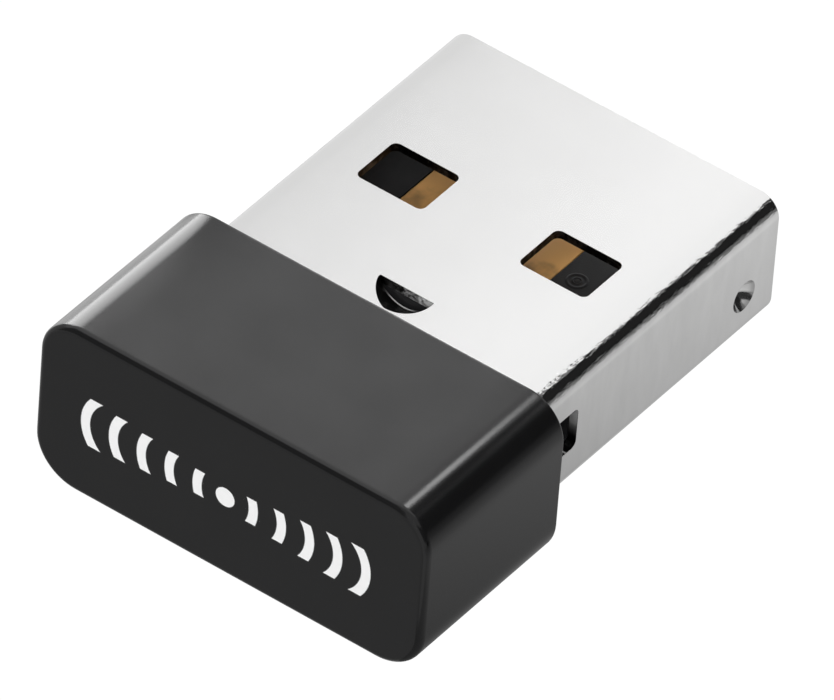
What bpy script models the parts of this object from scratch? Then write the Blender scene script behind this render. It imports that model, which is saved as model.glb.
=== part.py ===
"""Nano USB wireless receiver: a plastic cap pressed onto a stamped A plug that holds its own circuit board.

The frame: +Y points out of the cap towards the plug's tip, +Z is up, X is across. The origin is on the
surface that the cap rests on, under the middle of the object.
"""

import math

import bmesh
import bpy
from mathutils import Matrix, Vector

MM = 0.001

# The plug's shell, a folded steel tube of the standard A section.
SHELL_WIDTH = 12.0 * MM
SHELL_HEIGHT = 4.5 * MM
SHELL_WALL = 0.3 * MM
SHELL_CORNER = 0.73 * MM
PLUG_REACH = 12.03 * MM
SHELL_TUCK = 2.2 * MM
SEAM_GAP = 0.06 * MM

# The cap around the shell's rear end: how far it stands out from the shell on each side.
CAP_DEPTH = 6.63 * MM
CAP_SIDE = 1.045 * MM
CAP_ROOF = 0.673 * MM
CAP_SOLE = 0.947 * MM
CAP_FRONT_WALL = 0.9 * MM
CAP_TOP_CORNER = 1.375 * MM
CAP_SOLE_CORNER = 1.56 * MM
CAP_FRONT_EDGE = 0.22 * MM

# Openings and pressings in the shell.
WINDOW_INNER_X = 1.75 * MM
WINDOW_WIDTH = 2.45 * MM
WINDOW_LENGTH = 1.97 * MM
WINDOW_SETBACK = 5.29 * MM
WINDOW_CORNER = 0.2 * MM
LATCH_WINDOW_LOW = 1.58 * MM
LATCH_WINDOW_HEIGHT = 1.49 * MM
LATCH_WINDOW_REACH = 2.2 * MM
LATCH_WINDOW_TUCK = 0.75 * MM
DIMPLE_SETBACK = 1.5 * MM
DIMPLE_HEIGHT = 1.75 * MM
DIMPLE_RADIUS = 0.53 * MM
DIMPLE_DEPTH = 0.25 * MM
LANCE_SETBACK = 10.29 * MM
LANCE_HALF_WIDTH = 0.98 * MM
LANCE_LENGTH = 1.04 * MM
LANCE_DEPTH = 0.65 * MM
LANCE_METAL = 0.24 * MM
SHEAR_GAP = 0.02 * MM

# The moulded carrier inside the plug, with its tongue in the mouth.
MOUTH_HEIGHT = 1.95 * MM
MOUTH_DEPTH = 9.0 * MM
TONGUE_SETBACK = 0.6 * MM
NOSE_LENGTH = 0.5 * MM
RAIL_WIDTH = 0.6 * MM
BLOCK_TUCK = 1.2 * MM
PEG_RADIUS = 0.35 * MM
SIDE_POCKET_DEPTH = 0.9 * MM

# The four contacts, outer pair longer so that power mates first.
CONTACT_WIDTH = 1.0 * MM
CONTACT_METAL = 0.2 * MM
INNER_CONTACT_X = 1.0 * MM
OUTER_CONTACT_X = 3.5 * MM
OUTER_CONTACT_SETBACK = 1.2 * MM
INNER_CONTACT_SETBACK = 2.2 * MM
CONTACT_DIP = 0.32 * MM
CONTACT_FOOT = 0.6 * MM

# The board and what it stands on.
BOARD_THICKNESS = 0.5 * MM
FILM_THICKNESS = 0.06 * MM
PART_HEADROOM = 0.65 * MM

# Clearances between pieces that touch on the real object.
SEAT_GAP = 0.02 * MM
SLIDE_GAP = 0.04 * MM

# Levels and stations that follow from the sizes above.
CAP_WIDTH = SHELL_WIDTH + 2 * CAP_SIDE
CAP_HEIGHT = CAP_SOLE + SHELL_HEIGHT + CAP_ROOF
FRONT_Y = -(CAP_DEPTH + PLUG_REACH) / 2
TIP_Y = -FRONT_Y
CAP_BACK_Y = FRONT_Y + CAP_DEPTH
SHELL_REAR_Y = CAP_BACK_Y - SHELL_TUCK
SHELL_BOTTOM_Z = CAP_SOLE
SHELL_TOP_Z = SHELL_BOTTOM_Z + SHELL_HEIGHT
FLOOR_Z = SHELL_BOTTOM_Z + SHELL_WALL
CEILING_Z = SHELL_TOP_Z - SHELL_WALL
TONGUE_TOP_Z = CEILING_Z - MOUTH_HEIGHT
FILM_Z = FLOOR_Z + SEAT_GAP
BOARD_Z = FILM_Z + FILM_THICKNESS + SEAT_GAP
BOARD_TOP_Z = BOARD_Z + BOARD_THICKNESS
PARTS_Z = BOARD_TOP_Z + SEAT_GAP
TONGUE_UNDER_Z = BOARD_TOP_Z + PART_HEADROOM
TONGUE_END_Y = TIP_Y - TONGUE_SETBACK
BLOCK_FRONT_Y = TIP_Y - MOUTH_DEPTH
BLOCK_REAR_Y = CAP_BACK_Y - BLOCK_TUCK
CARRIER_HALF_WIDTH = SHELL_WIDTH / 2 - SHELL_WALL - SLIDE_GAP
RAIL_INNER_X = CARRIER_HALF_WIDTH - RAIL_WIDTH
BOARD_HALF_WIDTH = RAIL_INNER_X - SLIDE_GAP
BORE_HALF_WIDTH = SHELL_WIDTH / 2 + SLIDE_GAP
CAVITY_FRONT_Y = FRONT_Y + CAP_FRONT_WALL
LATCH_WINDOW_Z = SHELL_BOTTOM_Z + LATCH_WINDOW_LOW
LATCH_WINDOW_END_Y = CAP_BACK_Y + LATCH_WINDOW_REACH
LATCH_WINDOW_START_Y = CAP_BACK_Y - LATCH_WINDOW_TUCK
LANCE_Y = TIP_Y - LANCE_SETBACK
PEG_X = BOARD_HALF_WIDTH - 2 * PEG_RADIUS
PEG_Y = BLOCK_REAR_Y + 2 * PEG_RADIUS
PAST = 1.0 * MM  # how far a cutter runs past the face it opens

for old in list(bpy.data.objects):
    bpy.data.objects.remove(old)

receiver = bpy.data.collections.new("usb_wireless_receiver")
cutters = bpy.data.collections.new("cutters")
bpy.context.scene.collection.children.link(receiver)
bpy.context.scene.collection.children.link(cutters)
cutters.hide_render = True


def finish(name, colour, roughness, metallic):
    """A Principled material of one colour."""
    material = bpy.data.materials.new(name)
    material.use_nodes = True
    shader = material.node_tree.nodes["Principled BSDF"]
    shader.inputs["Base Color"].default_value = (*colour, 1.0)
    shader.inputs["Roughness"].default_value = roughness
    shader.inputs["Metallic"].default_value = metallic
    return material


BLACK_ABS = finish("black_abs", (0.03, 0.03, 0.032), 0.42, 0.0)
BLACK_LCP = finish("black_liquid_crystal_polymer", (0.018, 0.018, 0.02), 0.5, 0.0)
PLATED_STEEL = finish("nickel_plated_steel", (0.78, 0.77, 0.75), 0.28, 1.0)
GOLD_PLATE = finish("gold_plated_bronze", (0.72, 0.46, 0.2), 0.3, 1.0)
SOLDER_MASK = finish("green_solder_mask", (0.01, 0.11, 0.045), 0.35, 0.0)
POLYIMIDE = finish("amber_polyimide", (0.55, 0.25, 0.03), 0.3, 0.0)
EPOXY = finish("black_epoxy", (0.02, 0.02, 0.022), 0.6, 0.0)
CAN_METAL = finish("crystal_can", (0.75, 0.72, 0.66), 0.25, 1.0)
ANTENNA_CERAMIC = finish("antenna_ceramic", (0.8, 0.82, 0.85), 0.5, 0.0)
CAPACITOR_CERAMIC = finish("capacitor_ceramic", (0.45, 0.3, 0.18), 0.5, 0.0)
RESISTOR_FILM = finish("resistor_film", (0.05, 0.05, 0.06), 0.4, 0.0)
INDUCTOR_CERAMIC = finish("inductor_ceramic", (0.35, 0.4, 0.45), 0.5, 0.0)


def placed(name, mesh_maker, location=(0, 0, 0)):
    """An object of the mesh that mesh_maker fills, at location, in the part's own collection."""
    mesh = bpy.data.meshes.new(name)
    shape = bmesh.new()
    mesh_maker(shape)
    bmesh.ops.recalc_face_normals(shape, faces=shape.faces)
    shape.to_mesh(mesh)
    shape.free()
    item = bpy.data.objects.new(name, mesh)
    item.location = location
    receiver.objects.link(item)
    return item


def as_cutter(item):
    """Moves a helper solid out of the part and into the cutters."""
    receiver.objects.unlink(item)
    cutters.objects.link(item)
    item.hide_render = True
    item.display_type = "WIRE"
    return item


def box(name, low, high, edges=()):
    """A box between two corners. Each (test, radius, segments) in edges rounds the edges that test picks."""
    size = Vector(high) - Vector(low)

    def make(shape):
        bmesh.ops.create_cube(shape, size=1.0, matrix=Matrix.Diagonal((*size, 1.0)))
        for test, radius, segments in edges:
            picked = [edge for edge in shape.edges if test(edge, size)]
            bmesh.ops.bevel(
                shape, geom=picked, offset=radius, segments=segments, profile=0.5, affect="EDGES"
            )

    return placed(name, make, (Vector(low) + Vector(high)) / 2)


def along_y(upper):
    """Picks the long edges of a box, those of its upper or of its lower half."""

    def test(edge, size):
        first, second = (vert.co for vert in edge.verts)
        if abs(first.y - second.y) < size.y / 2:
            return False
        return (first.z > 0) == upper

    return test


def around_front(edge, size):
    """Picks the edges that lie in a box's front face."""
    return all(abs(vert.co.y + size.y / 2) < 1e-7 for vert in edge.verts)


def upright(edge, size):
    """Picks the edges of a box that run along Z."""
    first, second = (vert.co for vert in edge.verts)
    return abs(first.z - second.z) > size.z / 2


def along_x(edge, size):
    """Picks the edges of a box that run along X."""
    first, second = (vert.co for vert in edge.verts)
    return abs(first.x - second.x) > size.x / 2


def rounded_bar(name, low, high, radius, segments=6):
    """A bar along Y with its four long edges rounded alike."""
    rounding = [(along_y(True), radius, segments), (along_y(False), radius, segments)]
    return box(name, low, high, rounding)


def upright_cylinder(name, centre, radius, low_z, high_z):
    def make(shape):
        bmesh.ops.create_cone(
            shape, cap_ends=True, segments=24, radius1=radius, radius2=radius, depth=high_z - low_z
        )

    return placed(name, make, (centre[0], centre[1], (low_z + high_z) / 2))


def ellipsoid(name, centre, radii, keep_planes):
    """An ellipsoid about centre, cut off flat at each (point, outward normal) of keep_planes."""

    def make(shape):
        bmesh.ops.create_uvsphere(
            shape, u_segments=32, v_segments=16, radius=1.0, matrix=Matrix.Diagonal((*radii, 1.0))
        )
        for point, normal in keep_planes:
            offset = Vector(point) - Vector(centre)
            geometry = shape.verts[:] + shape.edges[:] + shape.faces[:]
            cut = bmesh.ops.bisect_plane(
                shape, geom=geometry, plane_co=offset, plane_no=normal, clear_outer=True
            )
            rim = [edge for edge in cut["geom_cut"] if isinstance(edge, bmesh.types.BMEdge)]
            bmesh.ops.contextual_create(shape, geom=rim)

    return placed(name, make, centre)


def boolean(target, operation, tool):
    """Adds an exact Boolean of target with a helper solid."""
    modifier = target.modifiers.new(tool.name, "BOOLEAN")
    modifier.operation = operation
    modifier.solver = "EXACT"
    modifier.object = as_cutter(tool)


def cut(target, tool):
    boolean(target, "DIFFERENCE", tool)


def add(target, tool):
    boolean(target, "UNION", tool)


def coat(item, material, smooth_angle=35):
    """Gives a finished piece its material and its smooth shading."""
    item.data.materials.append(material)
    item.data.shade_smooth()
    item.data.set_sharp_from_angle(angle=math.radians(smooth_angle))
    return item


# ---- outer cap -------------------------------------------------------------------------------------

SNAP_LENGTH = 0.4 * MM
SNAP_HEIGHT = 1.0 * MM
SNAP_PROUD = 0.24 * MM
RIB_WIDTH = 0.5 * MM
RIB_X = 3.2 * MM
RIB_LEAD_IN = 0.4 * MM


def outer_cap():
    """The cap: a rounded block bored to the shell's section, with two snaps and two floor ribs."""
    half = CAP_WIDTH / 2
    rounding = [
        (along_y(True), CAP_TOP_CORNER, 8),
        (along_y(False), CAP_SOLE_CORNER, 8),
        (around_front, CAP_FRONT_EDGE, 2),
    ]
    cap = box("outer_cap", (-half, FRONT_Y, 0), (half, CAP_BACK_Y, CAP_HEIGHT), rounding)
    bore_low = (-BORE_HALF_WIDTH, CAVITY_FRONT_Y, SHELL_BOTTOM_Z - SLIDE_GAP)
    bore_high = (BORE_HALF_WIDTH, CAP_BACK_Y + PAST, SHELL_TOP_Z + SLIDE_GAP)
    cut(cap, rounded_bar("cap_bore", bore_low, bore_high, SHELL_CORNER + SLIDE_GAP))
    snap_y = LATCH_WINDOW_START_Y + SLIDE_GAP
    snap_z = LATCH_WINDOW_Z + LATCH_WINDOW_HEIGHT / 2
    for side in (-1, 1):
        inner_x = side * (BORE_HALF_WIDTH - SNAP_PROUD)
        outer_x = side * (BORE_HALF_WIDTH + CAP_SIDE / 3)
        low = (min(inner_x, outer_x), snap_y, snap_z - SNAP_HEIGHT / 2)
        high = (max(inner_x, outer_x), snap_y + SNAP_LENGTH, snap_z + SNAP_HEIGHT / 2)
        add(cap, box(f"cap_snap_{side}", low, high))
        rib_x = side * RIB_X
        low = (rib_x - RIB_WIDTH / 2, CAVITY_FRONT_Y - CAP_FRONT_WALL / 2, CAP_SOLE / 2)
        high = (rib_x + RIB_WIDTH / 2, SHELL_REAR_Y - RIB_LEAD_IN, BOARD_Z - SEAT_GAP)
        add(cap, box(f"cap_rib_{side}", low, high))
    return coat(cap, BLACK_ABS)


# ---- plug shell ------------------------------------------------------------------------------------


def plug_shell():
    """The folded tube: windows, dimples in its sides, a lanced tab on top and the seam below."""
    half = SHELL_WIDTH / 2
    low = (-half, SHELL_REAR_Y, SHELL_BOTTOM_Z)
    high = (half, TIP_Y, SHELL_TOP_Z)
    shell = rounded_bar("plug_shell", low, high, SHELL_CORNER)
    inner_low = (-half + SHELL_WALL, SHELL_REAR_Y - PAST, FLOOR_Z)
    inner_high = (half - SHELL_WALL, TIP_Y + PAST, CEILING_Z)
    cut(shell, rounded_bar("shell_hollow", inner_low, inner_high, SHELL_CORNER - SHELL_WALL))
    press_dimples(shell)
    press_lance(shell)
    cut_windows(shell)
    low = (-SEAM_GAP / 2, SHELL_REAR_Y - PAST, SHELL_BOTTOM_Z - PAST)
    high = (SEAM_GAP / 2, TIP_Y + PAST, FLOOR_Z + SHELL_WALL)
    cut(shell, box("shell_seam", low, high))
    return coat(shell, PLATED_STEEL)


def cut_windows(shell):
    """Two windows in the top, two in the bottom and one through each side."""
    window_y = TIP_Y - WINDOW_SETBACK - WINDOW_LENGTH
    for side in (-1, 1):
        near_x = side * WINDOW_INNER_X
        far_x = side * (WINDOW_INNER_X + WINDOW_WIDTH)
        low = (min(near_x, far_x), window_y, SHELL_BOTTOM_Z - PAST)
        high = (max(near_x, far_x), window_y + WINDOW_LENGTH, SHELL_TOP_Z + PAST)
        cut(shell, box(f"window_{side}", low, high, [(upright, WINDOW_CORNER, 3)]))
    low = (-SHELL_WIDTH, LATCH_WINDOW_START_Y, LATCH_WINDOW_Z)
    high = (SHELL_WIDTH, LATCH_WINDOW_END_Y, LATCH_WINDOW_Z + LATCH_WINDOW_HEIGHT)
    cut(shell, box("latch_windows", low, high, [(along_x, WINDOW_CORNER, 3)]))


def press_dimples(shell):
    """A round dimple near the tip in each side, hollow outside and proud inside."""
    curve = (DIMPLE_RADIUS**2 + DIMPLE_DEPTH**2) / (2 * DIMPLE_DEPTH)
    outer_x = SHELL_WIDTH / 2
    nose_curve = curve + SHELL_WALL
    for side in (-1, 1):
        centre = (
            side * (outer_x - DIMPLE_DEPTH + curve),
            TIP_Y - DIMPLE_SETBACK,
            SHELL_BOTTOM_Z + DIMPLE_HEIGHT,
        )
        in_wall = (side * (outer_x - SHELL_WALL / 2), 0, 0)
        plane = (Vector((in_wall[0], centre[1], centre[2])), (side, 0, 0))
        add(shell, ellipsoid(f"dimple_nose_{side}", centre, (nose_curve,) * 3, [plane]))
        cut(shell, ellipsoid(f"dimple_hollow_{side}", centre, (curve,) * 3, []))


def press_lance(shell):
    """A half-moon tab pressed down from the top: joined along its arc, sheared along its straight edge."""
    centre = (0, LANCE_Y, SHELL_TOP_Z)
    hollow = (LANCE_HALF_WIDTH, LANCE_LENGTH, LANCE_DEPTH)
    body = tuple(radius + LANCE_METAL for radius in hollow)
    lip = (Vector(centre), (0, 1, 0))
    sheared = (Vector((0, LANCE_Y + SHEAR_GAP, SHELL_TOP_Z)), (0, 1, 0))
    in_wall = (Vector((0, LANCE_Y, SHELL_TOP_Z - SHELL_WALL / 2)), (0, 0, 1))
    add(shell, ellipsoid("lance_body", centre, body, [lip, in_wall]))
    cut(shell, ellipsoid("lance_hollow", centre, hollow, [sheared]))


# ---- contact carrier -------------------------------------------------------------------------------

CONTACTS = (
    ("contact_ground", -OUTER_CONTACT_X, OUTER_CONTACT_SETBACK),
    ("contact_data_plus", -INNER_CONTACT_X, INNER_CONTACT_SETBACK),
    ("contact_data_minus", INNER_CONTACT_X, INNER_CONTACT_SETBACK),
    ("contact_vbus", OUTER_CONTACT_X, OUTER_CONTACT_SETBACK),
)


def contact_carrier():
    """The moulding in the shell: block with side pockets, tongue, rails over the board, pegs."""
    low = (-CARRIER_HALF_WIDTH, BLOCK_REAR_Y, FLOOR_Z + SEAT_GAP)
    high = (CARRIER_HALF_WIDTH, TONGUE_END_Y, CEILING_Z - SLIDE_GAP)
    carrier = rounded_bar("contact_carrier", low, high, SHELL_CORNER - SHELL_WALL)
    low = (-SHELL_WIDTH, BLOCK_FRONT_Y, TONGUE_TOP_Z)
    high = (SHELL_WIDTH, TIP_Y + PAST, SHELL_TOP_Z + PAST)
    cut(carrier, box("mouth_space", low, high))
    low = (-RAIL_INNER_X, BLOCK_REAR_Y - PAST, SHELL_BOTTOM_Z - PAST)
    high = (RAIL_INNER_X, TONGUE_END_Y - NOSE_LENGTH, TONGUE_UNDER_Z)
    cut(carrier, box("board_channel", low, high))
    cut_contact_grooves(carrier)
    around_tab = LANCE_METAL + SLIDE_GAP
    half = LANCE_HALF_WIDTH + around_tab
    low = (-half, LANCE_Y - LANCE_LENGTH - around_tab, SHELL_TOP_Z - LANCE_DEPTH - around_tab)
    high = (half, LANCE_Y + SLIDE_GAP, SHELL_TOP_Z + PAST)
    cut(carrier, box("lance_notch", low, high))
    for side in (-1, 1):
        add_side_features(carrier, side)
    return coat(carrier, BLACK_LCP)


def cut_contact_grooves(carrier):
    """A groove through tongue and block for each contact, with a pocket for its bent nose."""
    bottom_z = TONGUE_TOP_Z - CONTACT_METAL - SEAT_GAP
    half = CONTACT_WIDTH / 2 + SLIDE_GAP
    for name, x, setback in CONTACTS:
        end_y = TIP_Y - setback + SLIDE_GAP
        low = (x - half, BLOCK_REAR_Y - PAST, bottom_z)
        high = (x + half, end_y, TONGUE_TOP_Z + SLIDE_GAP)
        cut(carrier, box(f"groove_{name}", low, high))
        low = (x - half, end_y - 2 * CONTACT_DIP, bottom_z - CONTACT_DIP)
        high = (x + half, end_y, bottom_z + CONTACT_METAL / 2)
        cut(carrier, box(f"nose_pocket_{name}", low, high))


def add_side_features(carrier, side):
    """On one side: the dimple's hollow, the pocket behind the window, the peg in the board."""
    dimple_y = TIP_Y - DIMPLE_SETBACK
    reach = DIMPLE_RADIUS + SHELL_WALL + SLIDE_GAP
    inner_x = CARRIER_HALF_WIDTH - DIMPLE_DEPTH - SLIDE_GAP
    ends = sorted((side * inner_x, side * SHELL_WIDTH))
    low = (ends[0], dimple_y - reach, SHELL_BOTTOM_Z - PAST)
    high = (ends[1], dimple_y + reach, SHELL_TOP_Z + PAST)
    cut(carrier, box(f"dimple_hollow_in_carrier_{side}", low, high))
    ends = sorted((side * (CARRIER_HALF_WIDTH - SIDE_POCKET_DEPTH), side * SHELL_WIDTH))
    low = (ends[0], LATCH_WINDOW_START_Y, LATCH_WINDOW_Z)
    high = (ends[1], LATCH_WINDOW_END_Y, LATCH_WINDOW_Z + LATCH_WINDOW_HEIGHT)
    cut(carrier, box(f"side_pocket_{side}", low, high, [(along_x, WINDOW_CORNER, 3)]))
    centre = (side * PEG_X, PEG_Y)
    top_z = TONGUE_UNDER_Z + CONTACT_METAL
    add(carrier, upright_cylinder(f"board_peg_{side}", centre, PEG_RADIUS, BOARD_Z + SEAT_GAP, top_z))


# ---- contacts --------------------------------------------------------------------------------------

BEND_STEPS = 5


def quarter_bend(centre, radius, start, end):
    """Points on an arc in the (y, z) plane, angles in degrees."""
    angles = [math.radians(start + (end - start) * step / BEND_STEPS) for step in range(BEND_STEPS + 1)]
    return [(centre[0] + radius * math.cos(a), centre[1] + radius * math.sin(a)) for a in angles]


def contact(name, x, setback):
    """A strip: a foot on the board, an S up to the tongue, a straight run and a nose bent down at its end."""
    top_z = TONGUE_TOP_Z - CONTACT_METAL / 2
    foot_z = PARTS_Z + CONTACT_METAL / 2
    rise_y = BLOCK_REAR_Y - CONTACT_METAL - SLIDE_GAP
    bend = CONTACT_METAL
    end_y = TIP_Y - setback - CONTACT_METAL / 2
    path = [(rise_y - bend - CONTACT_FOOT, foot_z)]
    path += quarter_bend((rise_y - bend, foot_z + bend), bend, -90, 0)
    path += quarter_bend((rise_y + bend, top_z - bend), bend, 180, 90)
    path += quarter_bend((end_y - bend, top_z - bend), bend, 90, 0)
    path.append((end_y, top_z - CONTACT_DIP))

    def make(shape):
        rows = []
        for y, z in path:
            rows.append([shape.verts.new((side * CONTACT_WIDTH / 2, y, z)) for side in (-1, 1)])
        for before, after in zip(rows, rows[1:]):
            shape.faces.new((before[0], before[1], after[1], after[0]))

    strip = placed(name, make, (x, 0, 0))
    metal = strip.modifiers.new("metal", "SOLIDIFY")
    metal.thickness = CONTACT_METAL
    metal.offset = 0.0
    metal.use_even_offset = True
    return coat(strip, GOLD_PLATE)


# ---- circuit board ---------------------------------------------------------------------------------

BOARD_TAB_SIDE_GAP = 0.2 * MM
BOARD_END_GAP = 0.2 * MM
BOARD_CORNER = 0.3 * MM
BOARD_FRONT_Y = TONGUE_END_Y - NOSE_LENGTH - SLIDE_GAP
BOARD_REAR_Y = CAVITY_FRONT_Y + BOARD_END_GAP
ANTENNA_TAB_FRONT_Y = SHELL_REAR_Y - BOARD_END_GAP


def circuit_board():
    """A narrow board between the carrier's rails that widens into the antenna's tab behind the shell."""
    low = (-BOARD_HALF_WIDTH, BOARD_REAR_Y + BOARD_CORNER, BOARD_Z)
    high = (BOARD_HALF_WIDTH, BOARD_FRONT_Y, BOARD_TOP_Z)
    board = box("circuit_board", low, high, [(upright, BOARD_CORNER, 3)])
    tab_half = SHELL_WIDTH / 2 - BOARD_TAB_SIDE_GAP
    low = (-tab_half, BOARD_REAR_Y, BOARD_Z)
    high = (tab_half, ANTENNA_TAB_FRONT_Y, BOARD_TOP_Z)
    add(board, box("antenna_tab", low, high, [(upright, BOARD_CORNER, 3)]))
    for side in (-1, 1):
        centre = (side * PEG_X, PEG_Y)
        hole = PEG_RADIUS + SLIDE_GAP
        cut(board, upright_cylinder(f"peg_hole_{side}", centre, hole, BOARD_Z - PAST, BOARD_TOP_Z + PAST))
    return coat(board, SOLDER_MASK)


def insulating_film():
    """A film on the shell's floor that keeps the board's joints off the steel."""
    low = (-BOARD_HALF_WIDTH, SHELL_REAR_Y + BOARD_END_GAP, FILM_Z)
    high = (BOARD_HALF_WIDTH, BOARD_FRONT_Y, FILM_Z + FILM_THICKNESS)
    return coat(box("insulating_film", low, high), POLYIMIDE)


# ---- parts on the board ----------------------------------------------------------------------------

PACKAGE_EDGE = 0.06 * MM
PACKAGE_HEIGHT = 0.55 * MM

CHIP_SIDE = 4.0 * MM
CHIP_HEIGHT = 0.58 * MM
CHIP_SETBACK = 1.2 * MM
CHIP_Y = BLOCK_REAR_Y + CHIP_SETBACK + CHIP_SIDE / 2
CHIP_FRONT_Y = CHIP_Y + CHIP_SIDE / 2

# A crosswise row in front of the chip: regulator, memory, crystal.
ROW_SETBACK = 3.2 * MM
PACKAGE_LONG = 2.0 * MM
REGULATOR_SIDE = 2.0 * MM
MEMORY_WIDE = 2.8 * MM
CRYSTAL_WIDE = 2.5 * MM
REGULATOR_X = -3.2 * MM
MEMORY_X = -0.55 * MM
CRYSTAL_X = 2.4 * MM

ANTENNA_SIZE = (5.2 * MM, 1.6 * MM, 0.9 * MM)
ANTENNA_X = -2.9 * MM
ANTENNA_Y = BOARD_REAR_Y + 1.3 * MM

SMALL_LONG = 1.0 * MM
SMALL_WIDE = 0.5 * MM
SMALL_HEIGHT = 0.5 * MM
RESISTOR_HEIGHT = 0.35 * MM
SMALL_PITCH = 1.15 * MM
DECOUPLING_X = 3.2 * MM
SMALL_ROW_SETBACK = 0.95 * MM
SMALL_ROW_X = 1.8 * MM


def package(name, size, x, y, material, edge=PACKAGE_EDGE):
    """A surface-mount package standing on the board, its top edges eased."""

    def top_rim(item, extent):
        return all(vert.co.z > extent.z / 2 - 1e-7 for vert in item.verts)

    low = (x - size[0] / 2, y - size[1] / 2, PARTS_Z)
    high = (x + size[0] / 2, y + size[1] / 2, PARTS_Z + size[2])
    return coat(box(name, low, high, [(top_rim, edge, 1)]), material)


def board_parts():
    """Everything soldered to the board's top, under the tongue and on the antenna's tab."""
    package("radio_chip", (CHIP_SIDE, CHIP_SIDE, CHIP_HEIGHT), 0, CHIP_Y, EPOXY)
    row_y = CHIP_FRONT_Y + ROW_SETBACK
    package("crystal", (CRYSTAL_WIDE, PACKAGE_LONG, PACKAGE_HEIGHT), CRYSTAL_X, row_y, CAN_METAL)
    package("voltage_regulator", (REGULATOR_SIDE, PACKAGE_LONG, PACKAGE_HEIGHT), REGULATOR_X, row_y, EPOXY)
    package("memory_chip", (MEMORY_WIDE, PACKAGE_LONG, PACKAGE_HEIGHT), MEMORY_X, row_y, EPOXY)
    package("chip_antenna", ANTENNA_SIZE, ANTENNA_X, ANTENNA_Y, ANTENNA_CERAMIC)
    crosswise = (SMALL_LONG, SMALL_WIDE, SMALL_HEIGHT)
    lengthwise = (SMALL_WIDE, SMALL_LONG, SMALL_HEIGHT)
    resistor = (SMALL_WIDE, SMALL_LONG, RESISTOR_HEIGHT)
    for side, first in ((-1, 1), (1, 4)):
        for step in range(3):
            y = CHIP_Y + (step - 1) * SMALL_PITCH
            name = f"decoupling_capacitor_{first + step}"
            package(name, crosswise, side * DECOUPLING_X, y, CAPACITOR_CERAMIC)
    small_y = CHIP_FRONT_Y + SMALL_ROW_SETBACK
    for step in range(2):
        number = step + 1
        x = SMALL_ROW_X + step * SMALL_PITCH
        package(f"crystal_load_capacitor_{number}", lengthwise, x, small_y, CAPACITOR_CERAMIC)
        package(f"supply_capacitor_{number}", lengthwise, -x, small_y, CAPACITOR_CERAMIC)
        x = (step - 0.5) * SMALL_PITCH
        package(f"data_line_resistor_{number}", resistor, x, small_y, RESISTOR_FILM)
        x = ANTENNA_X + ANTENNA_SIZE[0] / 2 + number * SMALL_PITCH
        package(f"matching_inductor_{number}", lengthwise, x, ANTENNA_Y, INDUCTOR_CERAMIC)


outer_cap()
plug_shell()
contact_carrier()
for contact_name, contact_x, contact_setback in CONTACTS:
    contact(contact_name, contact_x, contact_setback)
circuit_board()
insulating_film()
board_parts()
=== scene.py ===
import math

import bpy
import numpy as np
from mathutils import Matrix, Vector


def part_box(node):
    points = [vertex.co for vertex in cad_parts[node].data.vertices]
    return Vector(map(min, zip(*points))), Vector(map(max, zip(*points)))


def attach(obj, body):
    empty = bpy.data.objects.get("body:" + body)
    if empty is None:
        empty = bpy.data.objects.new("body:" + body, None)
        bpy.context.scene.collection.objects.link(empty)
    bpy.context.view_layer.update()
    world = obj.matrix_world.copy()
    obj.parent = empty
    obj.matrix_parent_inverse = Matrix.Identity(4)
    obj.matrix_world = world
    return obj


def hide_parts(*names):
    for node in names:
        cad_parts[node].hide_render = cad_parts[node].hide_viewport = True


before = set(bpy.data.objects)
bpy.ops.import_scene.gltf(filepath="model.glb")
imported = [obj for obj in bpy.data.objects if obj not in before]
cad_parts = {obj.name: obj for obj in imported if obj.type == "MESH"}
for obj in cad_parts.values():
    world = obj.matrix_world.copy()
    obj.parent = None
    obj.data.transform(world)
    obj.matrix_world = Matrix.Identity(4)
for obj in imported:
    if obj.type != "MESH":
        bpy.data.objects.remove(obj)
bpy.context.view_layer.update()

# ---- circuit board -----------------------------------------------------------------------------
# A half-millimetre glass and epoxy board, etched copper under a green solder mask. It lies between
# the carrier's rails on two pegs, and widens behind the plug's shell to carry the antenna.

MM = 0.001


class Wire:
    """A shader value that sums can be written with: each operator adds the Math node that it stands for."""

    def __init__(self, finish, socket):
        self.finish = finish
        self.socket = socket

    def math(self, operation, other=0.0, reflected=False):
        pair = (other, self) if reflected else (self, other)
        return self.finish.node("ShaderNodeMath", {"operation": operation}, dict(enumerate(pair)))

    def __add__(self, other):
        return self.math("ADD", other)

    def __radd__(self, other):
        return self.math("ADD", other, reflected=True)

    def __sub__(self, other):
        return self.math("SUBTRACT", other)

    def __rsub__(self, other):
        return self.math("SUBTRACT", other, reflected=True)

    def __mul__(self, other):
        return self.math("MULTIPLY", other)

    def __rmul__(self, other):
        return self.math("MULTIPLY", other, reflected=True)

    def __pow__(self, other):
        return self.math("POWER", other)

    def __abs__(self):
        return self.math("ABSOLUTE")

    def above(self, level, soft):
        """1 where the value is over level, 0 where it is under it, easing over soft."""
        settings = {"interpolation_type": "SMOOTHSTEP"}
        limits = {"Value": self, "From Min": level - soft / 2, "From Max": level + soft / 2}
        return self.finish.node("ShaderNodeMapRange", settings, limits)

    def below(self, level, soft):
        """1 where the value is under level, easing to 0 over soft."""
        return 1 - self.above(level, soft)

    def most(self, other):
        """The larger of the two."""
        return self.math("MAXIMUM", other)

    def least(self, other):
        """The smaller of the two."""
        return self.math("MINIMUM", other)


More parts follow.
